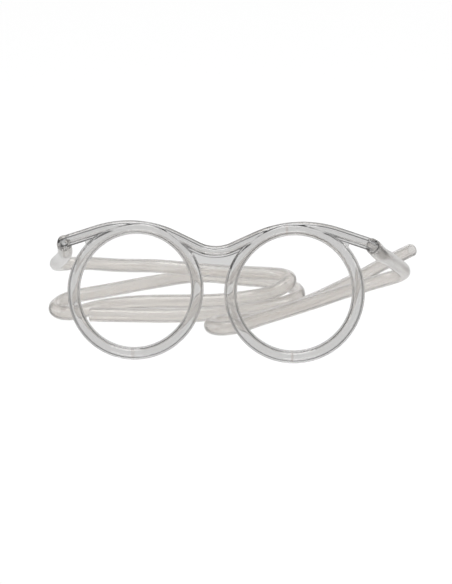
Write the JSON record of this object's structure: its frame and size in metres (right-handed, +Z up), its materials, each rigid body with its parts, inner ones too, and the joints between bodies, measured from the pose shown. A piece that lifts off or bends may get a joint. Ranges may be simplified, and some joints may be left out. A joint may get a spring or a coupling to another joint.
{
  "type": "drinking straw glasses",
  "caption": "Round clear hollow eyeglass frame without lenses, with a soft clear drinking hose turning on a stub at each temple.",
  "frame": {"origin": "on the surface that the glasses stand on, midway across and midway front to back of the hard frame in its leaning stance", "axes": "+Z up, -Y towards the viewer of the front, +X to the right hand side as seen from the front; the frame leans back 25 degrees"},
  "size_m": [0.1798, 0.1481, 0.0557],
  "materials": {
    "clear_frame": "clear hard moulded plastic, glossy",
    "clear_hose": "soft clear hose, slightly hazy"
  },
  "bodies": {
    "frame": {"front_shell": "clear_frame", "back_shell": "clear_frame"},
    "left_hose": {"left_hose": "clear_hose"},
    "right_hose": {"right_hose": "clear_hose"}
  },
  "joints": [
    {"name": "left_hose_swivel", "type": "hinge", "parent": "frame", "child": "left_hose", "pos_m": [-0.06917, 0.01153, 0.04233], "axis": [-0.2172, 0.7995, -0.56], "range_deg": [-180, 180]},
    {"name": "right_hose_swivel", "type": "hinge", "parent": "frame", "child": "right_hose", "pos_m": [0.06917, 0.01153, 0.04233], "axis": [0.2172, 0.7995, -0.56], "range_deg": [-180, 0]}
  ]
}
